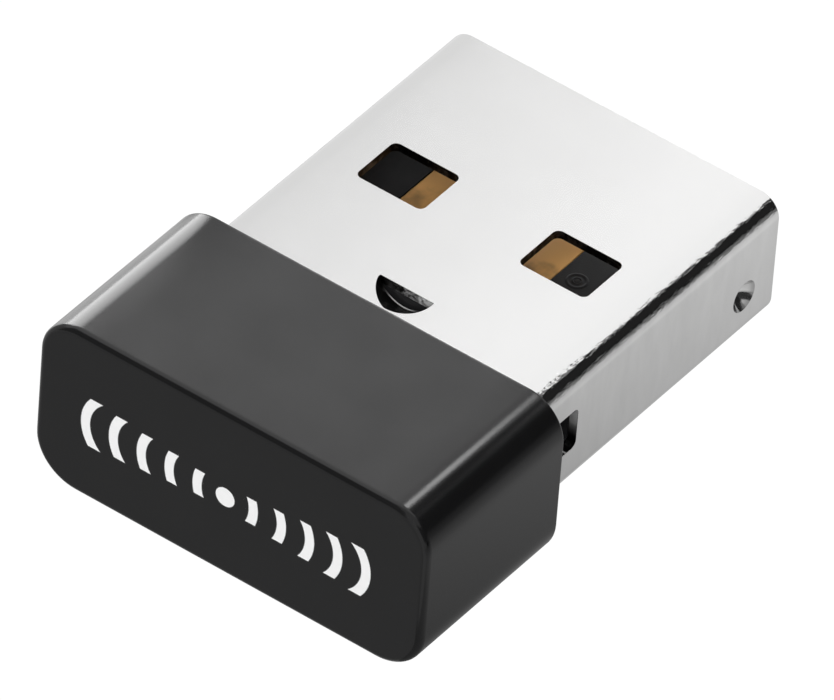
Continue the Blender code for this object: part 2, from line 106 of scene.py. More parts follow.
class Finish:
    """A material in the making. Its patterns read the piece's own place, in millimetres."""

    def __init__(self, name):
        self.material = bpy.data.materials.new(name)
        self.material.use_nodes = True
        self.tree = self.material.node_tree
        self.tree.nodes.clear()

    def node(self, kind, settings=(), inputs=(), output=0):
        """Adds a node, its settings first, then the values or wires of its sockets, and gives one output."""
        made = self.tree.nodes.new(kind)
        for key, value in dict(settings).items():
            setattr(made, key, value)
        for key, value in dict(inputs).items():
            socket = made.inputs[key]
            if isinstance(value, Wire):
                self.tree.links.new(value.socket, socket)
            elif socket.type == "RGBA":
                socket.default_value = (*value, 1.0)
            else:
                socket.default_value = value
        return Wire(self, made.outputs[output]) if made.outputs else None

    def place(self, centre=(0, 0, 0), stretch=(1, 1, 1)):
        """The point on the piece in millimetres, from centre, with each axis multiplied by its stretch."""
        point = self.node("ShaderNodeTexCoord", output=3)
        middle = tuple(v * MM for v in centre)
        point = self.node("ShaderNodeVectorMath", {"operation": "SUBTRACT"}, {0: point, 1: middle})
        scale = tuple(s / MM for s in stretch)
        return self.node("ShaderNodeVectorMath", {"operation": "MULTIPLY"}, {0: point, 1: scale})

    def axes(self, point):
        """The point's x, y and z as three values."""
        split = self.node("ShaderNodeSeparateXYZ", (), {0: point})
        outputs = split.socket.node.outputs
        return [Wire(self, socket) for socket in outputs]

    def noise(self, point, size, detail=2.0, roughness=0.5):
        """Cloudy noise from 0 to 1 with features of about size millimetres."""
        inputs = {"Vector": point, "Scale": 1 / size, "Detail": detail, "Roughness": roughness}
        return self.node("ShaderNodeTexNoise", (), inputs)

    def cells(self, point, size):
        """Distance to the nearest of scattered points about size millimetres apart."""
        return self.node("ShaderNodeTexVoronoi", (), {"Vector": point, "Scale": 1 / size})

    def blend(self, mask, first, second):
        """The first colour where mask is 0, the second where it is 1."""
        inputs = {0: mask, 6: first, 7: second}
        return self.node("ShaderNodeMix", {"data_type": "RGBA"}, inputs, 2)

    def relief(self, height, depth, under=None):
        """A normal from a height between 0 and 1 that stands for depth millimetres."""
        inputs = {"Height": height, "Distance": depth * MM}
        if under is not None:
            inputs["Normal"] = under
        return self.node("ShaderNodeBump", (), inputs)

    def done(self, **inputs):
        """Closes the material with a Principled surface. Underscores in the names stand for spaces."""
        named = {key.replace("_", " "): value for key, value in inputs.items()}
        surface = self.node("ShaderNodeBsdfPrincipled", (), named)
        self.node("ShaderNodeOutputMaterial", (), {0: surface})
        return self.material


def dress(node, material):
    """Gives a CAD node its finish in place of the plain one it came with."""
    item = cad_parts[node]
    item.data.materials.clear()
    item.data.materials.append(material)


def solder_mask():
    """Green lacquer over copper tracks that run in lanes along or across, pad rings bare and gilt."""
    finish = Finish("solder_mask")
    point = finish.place()
    x, y, _ = finish.axes(point)
    lane = 0.36
    inputs = {"Vector": point, "Scale": 0.7, "Randomness": 0.8}
    patch = finish.node("ShaderNodeTexVoronoi", {"distance": "CHEBYCHEV"}, inputs, 1)
    choice = finish.node("ShaderNodeSeparateColor", (), {0: patch}).above(0.5, 0.02)
    along = x.math("PINGPONG", lane).above(lane / 2, 0.04)
    across = y.math("PINGPONG", lane).above(lane / 2, 0.04)
    track = along * choice + across * (1 - choice)
    via = finish.cells(point, 1.3)
    pad = via.below(0.13, 0.02) * via.above(0.06, 0.02)
    green = finish.blend(track, (0.006, 0.075, 0.03), (0.012, 0.16, 0.06))
    colour = finish.blend(pad, green, (0.75, 0.5, 0.2))
    weave = finish.noise(finish.place(stretch=(1, 6, 1)), 0.5)
    rough = 0.3 + weave * 0.12
    normal = finish.relief(track * 0.7 + weave * 0.3, 0.02)
    return finish.done(Base_Color=colour, Roughness=rough, Metallic=pad, Normal=normal)


dress("circuit_board", solder_mask())

# ---- parts on the board ------------------------------------------------------------------------
# Moulded epoxy chips with a round mark at pin one, a sealed crystal can, a ceramic antenna and the
# small ceramic parts, each soldered down by its plated ends or pads.


def centred(node):
    """The middle of a CAD node and half its size, in millimetres."""
    low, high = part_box(node)
    return tuple((low + high) / (2 * MM)), tuple((high - low) / (2 * MM))


def epoxy(node):
    """Black moulding compound: fine filler grain, a matt finish and a shallow, paler pin mark on its top."""
    finish = Finish("epoxy_" + node)
    centre, half = centred(node)
    point = finish.place(centre)
    x, y, z = finish.axes(point)
    grain = finish.noise(point, 0.035, 3.0)
    filler = finish.cells(point, 0.06).below(0.12, 0.05)
    mark_x = x + half[0] * 0.68
    mark_y = y - half[1] * 0.68
    pin = (mark_x * mark_x + mark_y * mark_y) ** 0.5
    dent = pin.below(0.17, 0.03) * z.above(half[2] * 0.8, 0.02)
    colour = finish.blend(filler * 0.4 + dent * 0.4, (0.012, 0.012, 0.013), (0.05, 0.05, 0.052))
    rough = 0.5 + grain * 0.2 - dent * 0.2
    normal = finish.relief(grain * 0.4 - dent, 0.012)
    return finish.done(Base_Color=colour, Roughness=rough, Normal=normal)


for chip in ("radio_chip", "memory_chip", "voltage_regulator"):
    dress(chip, epoxy(chip))


def crystal_can():
    """Gold-flashed lid with its seam-weld track round the rim, over a dark ceramic tub."""
    finish = Finish("crystal_lid")
    centre, half = centred("crystal")
    point = finish.place(centre)
    x, y, z = finish.axes(point)
    edge = (abs(x) - half[0]).most(abs(y) - half[1])
    weld = edge.above(-0.22, 0.04)
    ripple = finish.noise(finish.place(centre, (5, 5, 5)), 0.5)
    lid = z.above(half[2] * 0.35, 0.02)
    colour = finish.blend(lid, (0.05, 0.045, 0.04), (0.72, 0.66, 0.52))
    rough = 0.55 - lid * 0.3 + weld * ripple * 0.25
    normal = finish.relief(weld * ripple, 0.02)
    return finish.done(Base_Color=colour, Roughness=rough, Metallic=lid, Normal=normal)


dress("crystal", crystal_can())


def ended_chip(node, body, second):
    """A fired ceramic body of two mixed tones with tinned ends that wrap round it."""
    finish = Finish("ceramic_" + node)
    centre, half = centred(node)
    point = finish.place(centre)
    x, y, _ = finish.axes(point)
    long_axis, reach = (x, half[0]) if half[0] > half[1] else (y, half[1])
    band = min(0.26, reach * 0.45)
    wander = finish.noise(point, 0.12) * 0.05
    tin = (abs(long_axis) + wander).above(reach - band, 0.02)
    speckle = finish.noise(point, 0.05, 4.0)
    ceramic = finish.blend(speckle, body, second)
    colour = finish.blend(tin, ceramic, (0.72, 0.71, 0.68))
    rough = 0.5 - tin * 0.18 + speckle * 0.12
    normal = finish.relief(speckle * 0.5 + tin, 0.012)
    return finish.done(Base_Color=colour, Roughness=rough, Metallic=tin, Normal=normal)


BODIES = {
    "decoupling_capacitor": ((0.3, 0.19, 0.1), (0.42, 0.28, 0.17)),
    "crystal_load_capacitor": ((0.34, 0.24, 0.16), (0.48, 0.36, 0.26)),
    "supply_capacitor": ((0.24, 0.15, 0.09), (0.34, 0.23, 0.14)),
    "data_line_resistor": ((0.008, 0.008, 0.01), (0.03, 0.03, 0.035)),
    "matching_inductor": ((0.22, 0.27, 0.32), (0.32, 0.37, 0.42)),
    "chip_antenna": ((0.66, 0.67, 0.68), (0.82, 0.83, 0.83)),
}
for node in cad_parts:
    for family, (body, second) in BODIES.items():
        if node.startswith(family):
            dress(node, ended_chip(node, body, second))

# ---- insulating film ---------------------------------------------------------------------------
# A strip of amber polyimide laid on the shell's floor so that no soldered joint touches the steel.
# Its glue side traps a few small bubbles, and rolling leaves faint waves along it.


def polyimide():
    """Clear amber film: faint waves along Y from its rolling, and small bubbles in the glue."""
    finish = Finish("amber_film")
    point = finish.place()
    wave = finish.noise(finish.place(stretch=(1, 0.3, 1)), 0.8)
    bubble = finish.cells(point, 0.45).below(0.09, 0.04)
    colour = finish.blend(wave * 0.8 + bubble * 0.3, (0.34, 0.13, 0.012), (0.62, 0.3, 0.04))
    normal = finish.relief(wave + bubble * 0.5, 0.03)
    return finish.done(Base_Color=colour, Roughness=0.16 + bubble * 0.3, Coat_Weight=0.4, Normal=normal)


dress("insulating_film", polyimide())

# ---- contacts ----------------------------------------------------------------------------------
# Four strips blanked from 0.2 mm phosphor bronze and gilt over nickel. Each has a foot soldered to
# the board, an S bend through the block, a straight run in its groove and a nose that dips in.

STRIP_WIDTH = 1.0 * MM
STRIP_METAL = 0.2 * MM
STRIP_EDGE = 0.035 * MM
STRIP_DIP = 0.32 * MM
BRIGHT_FROM_TIP = 5.0
STRIPS = ("contact_ground", "contact_data_plus", "contact_data_minus", "contact_vbus")


def grid_faces(rows, columns, wrap_rows=False, wrap_columns=False):
    """Four-sided faces between neighbours of a grid of points numbered row by row."""
    row = np.arange(rows if wrap_rows else rows - 1)[:, None]
    column = np.arange(columns if wrap_columns else columns - 1)[None, :]
    next_row, next_column = (row + 1) % rows, (column + 1) % columns
    corners = [row * columns + column, row * columns + next_column]
    corners += [next_row * columns + next_column, next_row * columns + column]
    return np.stack(corners, -1).reshape(-1, 4)


def piece(name, points, faces, material, replaced, sharp=40):
    """Makes a mesh of points and faces, creased where it turns by more than sharp degrees, and enters it."""
    mesh = bpy.data.meshes.new(name)
    mesh.from_pydata(points.reshape(-1, 3).tolist(), [], [list(face) for face in faces])
    mesh.validate()
    mesh.shade_smooth()
    mesh.set_sharp_from_angle(angle=math.radians(sharp))
    mesh.materials.append(material)
    item = bpy.data.objects.new(name, mesh)
    bpy.context.scene.collection.objects.link(item)
    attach(item, "root")
    if replaced:
        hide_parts(*replaced)
    return item


def tube_faces(rows, columns):
    """Faces of a profile of columns points carried through rows stations, with a flat cap at each end."""
    sides = grid_faces(rows, columns, wrap_columns=True).tolist()
    first = list(range(columns))[::-1]
    last = list(range((rows - 1) * columns, rows * columns))
    return [*sides, first, last]


def arc(centre, radius, start, end, steps):
    """Points round centre from angle start to end in degrees: centre + radius (cos a, sin a)."""
    angle = np.radians(np.linspace(start, end, steps + 1))
    return np.stack([centre[0] + radius * np.cos(angle), centre[1] + radius * np.sin(angle)], -1)


def rounded_box_outline(half_wide, half_high, radius, steps):
    """A rectangle about the origin with rounded corners, anticlockwise: four quarter arcs joined by lines."""
    turns = ((1, 1, 0), (-1, 1, 90), (-1, -1, 180), (1, -1, 270))
    corners = [
        arc((sx * (half_wide - radius), sz * (half_high - radius)), radius, turn, turn + 90, steps)
        for sx, sz, turn in turns
    ]
    return np.concatenate(corners)


def strip_path(node):
    """A contact's middle line in the (y, z) plane: foot, two quarter bends up, run, quarter bend down."""
    low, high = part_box(node)
    half = STRIP_METAL / 2
    bend = STRIP_METAL
    top_z, foot_z, end_y = high.z - half, low.z + half, high.y - half
    rise_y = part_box("contact_carrier")[0].y - STRIP_METAL - 0.04 * MM
    run = np.stack([np.linspace(rise_y + bend, end_y - bend, 40), np.full(40, top_z)], -1)
    return np.concatenate([
        [(low.y, foot_z), (rise_y - 2 * bend, foot_z)],
        arc((rise_y - bend, foot_z + bend), bend, -90, 0, 8),
        arc((rise_y + bend, top_z - bend), bend, 180, 90, 8),
        run[1:-1],
        arc((end_y - bend, top_z - bend), bend, 90, 0, 8),
        [(end_y, top_z - STRIP_DIP)],
    ])


def strip(node, material):
    """The strip's rounded section carried along its path: path + height x path normal + width x X."""
    low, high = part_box(node)
    path = strip_path(node)
    along = np.gradient(path, axis=0)
    along /= np.linalg.norm(along, axis=1)[:, None]
    normal = np.stack([-along[:, 1], along[:, 0]], -1)
    section = rounded_box_outline(STRIP_WIDTH / 2, STRIP_METAL / 2, STRIP_EDGE, 3)
    x = np.broadcast_to((low.x + high.x) / 2 + section[:, 0], (len(path), len(section)))
    yz = path[:, None, :] + section[None, :, 1:] * normal[:, None, :]
    points = np.concatenate([x[..., None], yz], -1)
    faces = tube_faces(len(path), len(section))
    return piece(node.replace("contact", "strip"), points, faces, material, [node])


def gilt():
    """Thin gold over nickel: faint rolling lines along Y, blotched, and painted darker and browner towards
    the plug's rear as shade.
    """
    finish = Finish("gilt_bronze")
    point = finish.place()
    rolled = finish.noise(finish.place(stretch=(8, 0.8, 8)), 1.0, 2.0)
    cloud = finish.noise(point, 0.55, 2.0)
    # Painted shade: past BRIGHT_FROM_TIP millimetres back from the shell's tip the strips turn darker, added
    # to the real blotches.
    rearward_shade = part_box("plug_shell")[1].y / MM - BRIGHT_FROM_TIP - finish.axes(point)[1]
    stain_and_shade = (cloud * 0.9 + rolled * 0.1 + rearward_shade * 0.3).above(0.52, 0.5)
    colour = finish.blend(stain_and_shade, (1.0, 0.55, 0.19), (0.5, 0.28, 0.12))
    rough = 0.32 + stain_and_shade * 0.14 + rolled * 0.05
    normal = finish.relief(rolled, 0.003)
    return finish.done(Base_Color=colour, Roughness=rough, Metallic=0.25, Normal=normal)


gilt_bronze = gilt()
for node in STRIPS:
    strip(node, gilt_bronze)

# ---- contact carrier ---------------------------------------------------------------------------
# One black moulding of glass-filled liquid crystal polymer: a block with a pocket in each side, the
# tongue with its contact grooves, the rails and two pegs. Its gate leaves a round mark on the tongue.

GATE_X = 2.165 * MM
GATE_Y = 4.695 * MM
GATE_RING = 0.31 * MM
GATE_DOT = 0.165 * MM
GATE_PROUD = 0.03 * MM
GATE_SUNK = 0.01 * MM
GATE_POINT = 0.001 * MM


def moulded_black(name, tone, rough_base, grain_depth):
    """Black moulded plastic: a fine eroded grain, flow lines along Y and slight clouds in its gloss."""
    finish = Finish(name)
    point = finish.place()
    grain = finish.noise(point, 0.045, 3.0, 0.6)
    flow = finish.noise(finish.place(stretch=(3, 0.7, 3)), 1.2, 2.0)
    cloud = finish.noise(point, 2.5, 2.0)
    colour = finish.blend(flow, tuple(0.8 * t for t in tone), tuple(1.25 * t for t in tone))
    rough = rough_base + cloud * 0.08 + grain * 0.05
    normal = finish.relief(grain * 0.8 + flow * 0.2, grain_depth)
    return finish.done(Base_Color=colour, Roughness=rough, Normal=normal)


carrier_black = moulded_black("carrier_polymer", (0.02, 0.02, 0.021), 0.38, 0.006)
dress("contact_carrier", carrier_black)


def turned(name, centre, profile, steps, material):
    """A profile of (radius, height) pairs turned about an upright axis: (r cos a, r sin a, h)."""
    angle = np.linspace(0, 2 * math.pi, steps, endpoint=False)
    radius, height = np.array(profile).T
    x = centre[0] + radius[:, None] * np.cos(angle)
    y = centre[1] + radius[:, None] * np.sin(angle)
    z = centre[2] + np.broadcast_to(height[:, None], x.shape)
    points = np.stack([x, y, z], -1)
    return piece(name, points, tube_faces(len(profile), steps), material, [], 60)


def bump_profile(inner, outer, proud, steps):
    """Radius and height over one rounded ridge: height is proud x sin(pi s) between inner and outer."""
    share = np.linspace(0, 1, steps)
    return np.stack([inner + (outer - inner) * share, proud * np.sin(math.pi * share)], -1).tolist()


gate_top = [(GATE_POINT, 0.2 * GATE_PROUD), (0.5 * GATE_DOT, 0.25 * GATE_PROUD)]
gate_top += bump_profile(0.6 * GATE_DOT, GATE_DOT, GATE_PROUD, 8)
gate_top += bump_profile(GATE_RING - 0.07 * MM, GATE_RING + 0.05 * MM, 0.7 * GATE_PROUD, 8)
gate_top += [(GATE_RING + 0.05 * MM, -GATE_SUNK), (GATE_POINT, -GATE_SUNK)]
gate_place = (GATE_X, GATE_Y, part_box("contact_data_plus")[1].z + GATE_POINT)
turned("gate_mark", gate_place, gate_top[::-1], 40, carrier_black)

# ---- plug shell --------------------------------------------------------------------------------
# A tube folded from 0.3 mm nickel-plated steel, its edges meeting in a seam underneath. Punched
# windows, a dimple in each side near the tip and a half-moon tab lanced down through the top.

SHELL_WALL = 0.3
SHELL_CORNER = 0.73
SEAM_GAP = 0.06
CORNER_STEPS = 14
WINDOW_X = (1.75, 4.2)
WINDOW_FROM_TIP = (7.26, 5.29)
WINDOW_CORNER = 0.22
SIDE_WINDOW_FROM_TIP = (12.78, 9.83)
SIDE_WINDOW_UP = (1.58, 3.07)
DIMPLE_FROM_TIP = 1.5
DIMPLE_UP = 1.75
DIMPLE_RADIUS = 0.53
DIMPLE_DEPTH = 0.4
LANCE_FROM_TIP = 10.29
LANCE_HALF = 0.98
LANCE_LONG = 1.04
LANCE_DEEP = 0.65
LANCE_ROLL = 0.75
LANCE_ENDS = (1.4, 0.95)
SHEAR_SLOT = 0.07
RIM_EDGE = 0.025
FILL_GAP = 0.015
MUST_GAP = 0.02
NEAR = 1e-6

shell_low, shell_high = (np.array(corner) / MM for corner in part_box("plug_shell"))
tip_y, rear_y = shell_high[1], shell_low[1]
sole_z, roof_z = shell_low[2], shell_high[2]
half_shell = shell_high[0]


def stops(must, fill):
    """Sorted grid lines: all of must, and those of fill that keep clear of them and of each other."""
    must, fill = np.unique(np.round(must, 4)), np.unique(fill)
    fill = fill[np.diff(fill, prepend=-np.inf) > FILL_GAP]
    clear = np.abs(np.subtract.outer(fill, must)).min(1) > MUST_GAP
    return np.unique(np.concatenate([must, fill[clear]]))


def rounded_ends(low, high, radius):
    """Lines across an opening that are close together where its corners turn."""
    return np.concatenate([np.linspace(low, low + radius, 5), np.linspace(high - radius, high, 5)])


def half_outline():
    """Right half of the tube's outline, from the seam round to the middle of the top, as (x, z)."""
    flat = half_shell - SHELL_CORNER
    low, high = sole_z + SHELL_CORNER, roof_z - SHELL_CORNER
    window = rounded_ends(*WINDOW_X, WINDOW_CORNER)
    side_window = rounded_ends(sole_z + SIDE_WINDOW_UP[0], sole_z + SIDE_WINDOW_UP[1], WINDOW_CORNER)
    dimple = sole_z + DIMPLE_UP + np.array([-DIMPLE_RADIUS, 0, DIMPLE_RADIUS])
    bottom = stops([SEAM_GAP / 2, flat, *window], np.arange(0.5, flat, 0.6))
    side = stops([low, high, *side_window, *dimple], np.arange(low, high, 0.04))
    top_fill = [*np.arange(0, LANCE_HALF, 0.035), *np.arange(1.3, flat, 0.6)]
    top = stops([0, LANCE_HALF, flat, *window], top_fill)
    return np.concatenate([
        np.stack([bottom, np.full_like(bottom, sole_z)], -1)[:-1],
        arc((flat, low), SHELL_CORNER, -90, 0, CORNER_STEPS),
        np.stack([np.full_like(side, half_shell), side], -1)[1:-1],
        arc((flat, high), SHELL_CORNER, 0, 90, CORNER_STEPS),
        np.stack([top, np.full_like(top, roof_z)], -1)[::-1][1:],
    ])


def round_corners(across, along, centre, half, radius, where, power=1.0):
    """Bends a grid's corner squares into quarter discs: (u, v) goes to max(u, v) (cos t, sin t) ** power,
    with t an eighth of a turn times the smaller share over the larger."""
    side_a, side_b = np.sign(across - centre[0]), np.sign(along - centre[1])
    from_a, from_b = np.abs(across - centre[0]), np.abs(along - centre[1])
    u, v = (from_a - half[0] + radius[0]) / radius[0], (from_b - half[1] + radius[1]) / radius[1]
    inside = where & (u > NEAR) & (v > NEAR) & (u < 1 + NEAR) & (v < 1 + NEAR)
    larger, smaller = np.maximum(u, v), np.minimum(u, v)
    turn = math.pi / 4 * smaller / np.where(larger > 0, larger, 1)
    near, far = larger * np.cos(turn) ** power, larger * np.sin(turn) ** power
    new_u, new_v = np.where(u >= v, near, far), np.where(u >= v, far, near)
    moved_a = centre[0] + side_a * (half[0] - radius[0] + new_u * radius[0])
    moved_b = centre[1] + side_b * (half[1] - radius[1] + new_v * radius[1])
    return np.where(inside, moved_a, across), np.where(inside, moved_b, along)


def between(values, low, high):
    """True where the values lie inside the two limits."""
    return (values > low) & (values < high)


def press_dimples(x, y, z):
    """A dimple in each side, in rings about its middle: x moves in by its depth times 1 - ring squared."""
    dimple_y, dimple_z = tip_y - DIMPLE_FROM_TIP, sole_z + DIMPLE_UP
    on_side = np.abs(np.abs(x) - half_shell) < NEAR
    ring = np.maximum(np.abs(y - dimple_y), np.abs(z - dimple_z)) / DIMPLE_RADIUS
    disc = (DIMPLE_RADIUS, DIMPLE_RADIUS)
    z, y = round_corners(z, y, (dimple_z, dimple_y), disc, disc, on_side)
    bowl = DIMPLE_DEPTH * np.clip(1 - ring**2, 0, 1)
    return x - np.sign(x) * np.where(on_side, bowl, 0), y, z


def press_tab(x, y, z):
    """The tab, in half rings about its free edge's middle: z moves down by (1 - ring squared) ** roll."""
    slot_y = tip_y - LANCE_FROM_TIP - SHEAR_SLOT
    on_tab = (z > roof_z - NEAR) & (y < slot_y + NEAR)
    ring = np.maximum(np.abs(x) / LANCE_HALF, np.abs(y - slot_y) / LANCE_LONG)
    oval = (LANCE_HALF, LANCE_LONG)
    x, y = round_corners(x, y, (0, slot_y), oval, oval, on_tab, np.where(x < 0, *LANCE_ENDS))
    drop = LANCE_DEEP * np.clip(1 - ring**2, 0, 1) ** LANCE_ROLL
    return x, y, z - np.where(on_tab, drop, 0)


def shell_surface():
    """The tube's outer skin, a grid of outline x length less its openings, with the dents pressed in."""
    half = half_outline()
    outline = np.concatenate([half, (half * (-1, 1))[::-1][1:]])
    window_y = tuple(tip_y - away for away in WINDOW_FROM_TIP)
    side_y = tuple(tip_y - away for away in SIDE_WINDOW_FROM_TIP)
    side_z = tuple(sole_z + up for up in SIDE_WINDOW_UP)
    lance_y, slot_y = tip_y - LANCE_FROM_TIP, tip_y - LANCE_FROM_TIP - SHEAR_SLOT
    dimple_y = tip_y - DIMPLE_FROM_TIP
    corners = [*rounded_ends(*window_y, WINDOW_CORNER), *rounded_ends(*side_y, WINDOW_CORNER)]
    must = [rear_y, tip_y, lance_y, slot_y, slot_y - LANCE_LONG, *corners]
    must += [dimple_y - DIMPLE_RADIUS, dimple_y, dimple_y + DIMPLE_RADIUS]
    fill = [np.arange(slot_y - LANCE_LONG - 0.1, slot_y, 0.03), np.arange(rear_y, tip_y, 0.7)]
    fill += [np.arange(dimple_y - 0.6, dimple_y + 0.6, 0.03)]
    lines = stops(must, np.concatenate(fill))
    y = np.broadcast_to(lines, (len(outline), len(lines))).copy()
    x = np.broadcast_to(outline[:, :1], y.shape).copy()
    z = np.broadcast_to(outline[:, 1:], y.shape).copy()

    def opening(across, bounds_a, bounds_b, where):
        """Rounds the four corners of an opening, given its bounds across and along the tube."""
        centre = (sum(bounds_a) / 2, sum(bounds_b) / 2)
        size = (np.ptp(bounds_a) / 2, np.ptp(bounds_b) / 2)
        return round_corners(across, y, centre, size, (WINDOW_CORNER, WINDOW_CORNER), where)

    flat_face = (np.abs(z - roof_z) < NEAR) | (np.abs(z - sole_z) < NEAR)
    side_face = np.abs(np.abs(x) - half_shell) < NEAR
    for sign in (-1, 1):
        reach = tuple(sorted(sign * edge for edge in WINDOW_X))
        x, y = opening(x, reach, window_y, flat_face)
    z, y = opening(z, side_z, side_y, side_face)
    x, y, z = press_tab(*press_dimples(x, y, z))

    middle = (outline[1:] + outline[:-1]) / 2
    mid_x, mid_z = np.abs(middle[:, :1]), middle[:, 1:]
    mid_y = ((lines[1:] + lines[:-1]) / 2)[None, :]
    on_flat = mid_x < half_shell - SHELL_CORNER
    on_roof = on_flat & (mid_z > (sole_z + roof_z) / 2)
    window = on_flat & between(mid_x, *WINDOW_X) & between(mid_y, *window_y)
    side_window = ~on_flat & between(mid_z, *side_z) & between(mid_y, *side_y)
    slot = on_roof & (mid_x < LANCE_HALF) & between(mid_y, slot_y, lance_y)
    kept = ~(window | side_window | slot)
    return np.stack([x, y, z], -1) * MM, grid_faces(*y.shape)[kept.ravel()]


def under_skin(x, z):
    """A point's depth under the tube's outer skin, and how far round a bend it is, from 0 to 1."""
    past_x = abs(x) - (half_shell - SHELL_CORNER)
    past_z = abs(z - (sole_z + roof_z) / 2) - ((roof_z - sole_z) / 2 - SHELL_CORNER)
    corner_x, corner_z = past_x.most(0.0), past_z.most(0.0)
    reach = (corner_x * corner_x + corner_z * corner_z) ** 0.5
    return SHELL_CORNER - reach - past_x.most(past_z).least(0.0), (corner_x * corner_z * 5.0).least(1.0)


def plated_steel():
    """Bright nickel over rolled steel: soft mottle, faint rolling lines, orange peel on the bends, painted
    lighter towards +x, with painted shade greying the sides. Inner and cut faces are rougher, and are painted
    near-black as shade behind the front windows, but for the burnished lip, the faces cut in front of it and
    the top of the side window's end wall."""
    finish = Finish("nickel_plate")
    point = finish.place()
    x, y, z = finish.axes(point)
    depth, bent = under_skin(x, z)
    side = abs(x).above(half_shell - 0.3, 0.5)
    mottle = finish.noise(point, 0.5, 3.0, 0.6)
    haze = finish.noise(point, 2.4, 1.0)
    rolled = finish.noise(finish.place(stretch=(9, 0.7, 9)), 1.0, 3.0)
    upright = finish.noise(finish.place(stretch=(1, 1.6, 0.5)), 0.8, 2.0)
    ripple = finish.noise(finish.place(stretch=(5.0, 1.3, 5.0)), 0.5, 2.0, 0.6)
    swell = finish.noise(finish.place(stretch=(2.0, 1.0, 2.0)), 0.5, 2.0, 0.5)

    lance_y, side_end = tip_y - LANCE_FROM_TIP, tip_y - SIDE_WINDOW_FROM_TIP[1]
    inner = depth.above(0.012, 0.016)
    lip = abs(y - (lance_y - SHEAR_SLOT - 0.025)).below(0.035, 0.02) * depth.above(0.25, 0.1)
    lip = lip * abs(x + 0.1).below(0.5, 0.4)
    cut = abs(y - lance_y).below(0.03, 0.02) * (x * 0.6 + ripple * 1.6).above(0.9, 0.9)
    cut = cut * depth.below(0.4, 0.05)
    # Painted light and shade: the side window's end wall is left light at its top, fading to near-black lower
    # down.
    end_wall = abs(y - side_end).below(0.1, 0.1) * abs(x).above(half_shell - 0.45, 0.1)
    end_wall = end_wall * z.above(3.2, 1.0) * 0.75
    # The lip, the cut wall and the end wall's top are left out of the painted shade below.
    bare = ((lip + cut + end_wall) * inner).least(1.0)
    # Painted shade: inner faces more than about 5 mm back from the tip go near-black.
    shaded_inner = inner * y.below(tip_y - WINDOW_FROM_TIP[1] + 0.3, 0.2) * (1 - bare)

    off_y, off_z = y - (tip_y - DIMPLE_FROM_TIP), z - (sole_z + DIMPLE_UP)
    from_dimple = (off_y * off_y + off_z * off_z) ** 0.5
    rim = side * from_dimple.above(0.46, 0.12) * from_dimple.below(DIMPLE_RADIUS + 0.01, 0.02)
    in_dimple = side * from_dimple.below(DIMPLE_RADIUS, 0.02)

    # Painted light: the x term makes the plate lighter towards +x, while haze and mottle vary it at random.
    level = (x * 0.11 + haze * 0.24 + mottle * 0.08 + 0.44).most(0.0).least(1.0)
    plate = finish.blend(level, (0.725, 0.724, 0.722), (0.9, 0.898, 0.895))
    # Painted shade greys the sides in upright streaks; each dimple's rim is also darkened.
    stain_and_shade = (side * upright * 0.2 + rim * 0.5).least(1.0)
    stained_and_shaded = finish.blend(stain_and_shade, plate, (0.3, 0.3, 0.3))
    inner_painted_shade = shaded_inner * (0.98 - mottle.above(0.56, 0.2) * 0.3)
    colour = finish.blend(inner_painted_shade, stained_and_shaded, (0.035, 0.034, 0.033))
    rough = 0.07 + in_dimple * 0.07 + mottle * 0.02 + rolled * 0.01 + (shaded_inner + bare) * 0.3 - bent * 0.05
    satin = finish.relief(mottle * 0.5 + rolled * 0.3, 0.0016)
    normal = finish.relief(swell * bent * 0.4 + ripple * bent * 0.6, 0.015, satin)
    return finish.done(Base_Color=colour, Roughness=rough, Metallic=1 - bare * 0.6, Normal=normal)


skin_points, skin_faces = shell_surface()
used, renumbered = np.unique(skin_faces, return_inverse=True)
skin_points = skin_points.reshape(-1, 3)[used]
skin_faces = renumbered.reshape(skin_faces.shape)
shell = piece("folded_shell", skin_points, skin_faces, plated_steel(), ["plug_shell"], 25)
wall = shell.modifiers.new("wall", "SOLIDIFY")
wall.thickness = SHELL_WALL * MM
wall.offset = -1.0
rims = shell.modifiers.new("rims", "BEVEL")
rims.width = RIM_EDGE * MM
rims.segments = 2
rims.limit_method = "ANGLE"
rims.angle_limit = math.radians(75)
rims.harden_normals = True

# ---- outer cap ---------------------------------------------------------------------------------
# A black ABS moulding with a fine satin skin, pressed over the shell's rear end: a rounded block
# bored from behind, with a snap bump in each side of the bore. Its front carries a printed mark.

CAP_TOP_CORNER = 1.375
CAP_SOLE_CORNER = 1.56
CAP_FRONT_EDGE = 0.22
CAP_BACK_EDGE = 0.08
BORE_EDGE = 0.05
BORE_GAP = 0.04
FRONT_WALL = 0.9
SNAP_LONG = 0.4
SNAP_HIGH = 1.0
SNAP_PROUD = 0.24

cap_low, cap_high = (np.array(corner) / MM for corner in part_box("outer_cap"))
front_y, back_y = cap_low[1], cap_high[1]


def section(half_wide, low, high, low_radius, high_radius, inset=0.0):
    """A rounded outline in (x, z): four arcs and the flats between, moved in by inset along its normal."""
    flats, turns = 14, 16
    corner = [
        (half_wide - low_radius, low + low_radius, low_radius, -90),
        (half_wide - high_radius, high - high_radius, high_radius, 0),
        (high_radius - half_wide, high - high_radius, high_radius, 90),
        (low_radius - half_wide, low + low_radius, low_radius, 180),
    ]
    arcs = [arc((x, z), radius - inset, turn, turn + 90, turns) for x, z, radius, turn in corner]
    share = np.linspace(0, 1, flats + 1)[1:-1, None]
    runs = []
    for here, following in zip(arcs, arcs[1:] + arcs[:1]):
        runs += [here, here[-1] + (following[0] - here[-1]) * share]
    return np.concatenate(runs)


def ring_at(outline, y):
    """The (x, z) outline as points at y."""
    return np.stack([outline[:, 0], np.full(len(outline), y), outline[:, 1]], -1)


def shrunk(outline, y, shares):
    """Rings that close a flat end: the outline drawn towards its middle."""
    middle = (outline.max(0) + outline.min(0)) / 2
    return [ring_at(middle + (outline - middle) * share, y) for share in shares]


